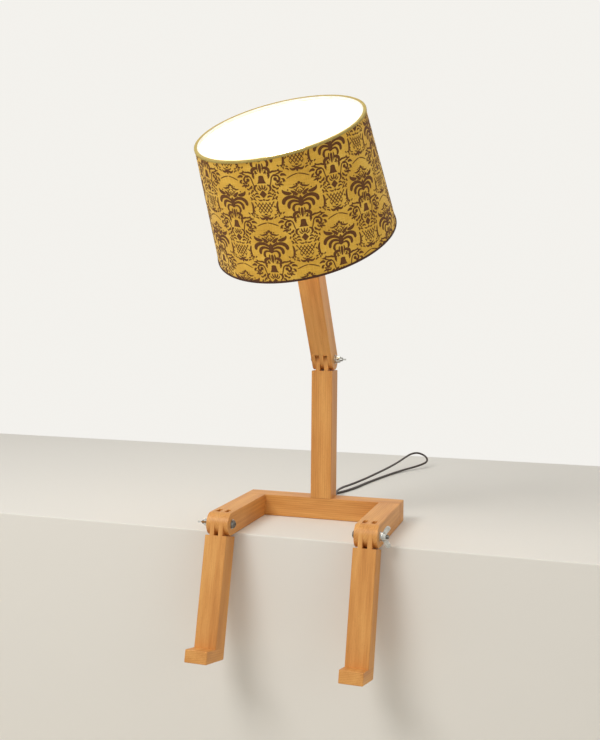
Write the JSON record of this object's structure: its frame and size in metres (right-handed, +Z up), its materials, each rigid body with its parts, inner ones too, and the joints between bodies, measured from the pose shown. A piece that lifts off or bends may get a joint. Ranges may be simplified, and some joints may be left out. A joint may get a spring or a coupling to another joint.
{
  "type": "desk lamp",
  "caption": "Desk lamp of square wooden sticks, seated like a small figure on a table edge, with hinged legs and neck and a patterned drum shade.",
  "frame": {"origin": "on the table top, under the middle of the hip bar; the shins hang below it over the table's edge", "axes": "+X towards the right-hand thigh seen from the front, +Y to the rear, +Z up"},
  "size_m": [0.237, 0.7131, 0.6803],
  "materials": {
    "beech": "planed and oiled beech, straight grain",
    "beech_dowel": "turned beech",
    "plated_steel": "bright zinc plated steel",
    "black_rubber": "moulded rubber",
    "brown_flex": "extruded flexible PVC",
    "brown_plug": "moulded PVC",
    "nickel": "nickel plate",
    "white_plastic": "moulded thermoset",
    "porcelain": "glazed porcelain",
    "brass": "bare brass",
    "frosted_glass": "inside-frosted glass",
    "bulb_inside": "clear glass stem and wire",
    "damask": "printed cotton, dark damask on ochre",
    "lining": "white shade lining",
    "white_wire": "powder coated wire",
    "top_tape": "woven edge tape",
    "bottom_tape": "woven edge tape"
  },
  "bodies": {
    "seat": {"hip_bar": "beech", "left_thigh": "beech", "right_thigh": "beech", "thigh_dowels": "beech_dowel", "torso_post": "beech", "post_dowels": "beech_dowel", "cord_gland": "black_rubber", "post_bush": "black_rubber", "post_lead": "brown_flex", "waist_lead": "brown_flex", "left_knee_bolt": "plated_steel", "right_knee_bolt": "plated_steel", "left_knee_washers": "plated_steel", "right_knee_washers": "plated_steel", "cord_run": "brown_flex", "cord_coil": "brown_flex", "cord_tail": "brown_flex", "plug_body": "brown_plug", "plug_pins": "nickel"},
    "neck": {"neck": "beech", "waist_bolt": "plated_steel", "waist_washers": "plated_steel", "neck_bush": "black_rubber", "neck_lead": "brown_flex", "holder_nipple": "plated_steel", "holder_plate": "plated_steel", "holder_cap": "white_plastic", "holder_nut": "plated_steel", "holder_barrel": "white_plastic", "shade_ring_nut": "white_plastic", "holder_insert": "porcelain", "screw_shell": "nickel", "centre_contact": "brass", "switch_block": "white_plastic", "terminal_screws": "brass", "bulb_cap": "nickel", "bulb_glass": "frosted_glass", "bulb_stem": "bulb_inside", "shade_cover": "damask", "shade_lining": "lining", "shade_spider": "white_wire", "shade_top_hoop": "white_wire", "shade_top_binding": "top_tape", "shade_bottom_binding": "bottom_tape"},
    "left_leg": {"left_shin": "beech", "left_foot": "beech", "left_foot_dowels": "beech_dowel"},
    "right_leg": {"right_shin": "beech", "right_foot": "beech", "right_foot_dowels": "beech_dowel"},
    "left_knee_nut": {"left_knee_wing_nut": "plated_steel"},
    "right_knee_nut": {"right_knee_wing_nut": "plated_steel"},
    "waist_nut": {"waist_wing_nut": "plated_steel"},
    "switch": {"switch_bar": "white_plastic"}
  },
  "joints": [
    {"name": "waist_hinge", "type": "hinge", "parent": "seat", "child": "neck", "pos_m": [0, 0, 0.212], "axis": [1, 0, 0], "range_deg": [-122, 60], "deforming": ["waist_lead"]},
    {"name": "left_knee", "type": "hinge", "parent": "seat", "child": "left_leg", "pos_m": [-0.092, -0.134, 0.014], "axis": [-1, 0, 0], "range_deg": [-16.5, 166]},
    {"name": "right_knee", "type": "hinge", "parent": "seat", "child": "right_leg", "pos_m": [0.092, -0.134, 0.014], "axis": [-1, 0, 0], "range_deg": [-16.5, 166]},
    {"name": "left_knee_nut_turn", "type": "hinge", "parent": "seat", "child": "left_knee_nut", "pos_m": [-0.112, -0.134, 0.014], "axis": [-1, 0, 0], "range_deg": [0, 720]},
    {"name": "right_knee_nut_turn", "type": "hinge", "parent": "seat", "child": "right_knee_nut", "pos_m": [0.112, -0.134, 0.014], "axis": [1, 0, 0], "range_deg": [0, 720]},
    {"name": "waist_nut_turn", "type": "hinge", "parent": "neck", "child": "waist_nut", "pos_m": [0.02, 0, 0.212], "axis": [1, 0, 0], "range_deg": [0, 720]},
    {"name": "switch_push", "type": "slide", "parent": "neck", "child": "switch", "axis": [0.9973, -0.0388, 0.0621], "range_m": [0, 0.005]}
  ]
}
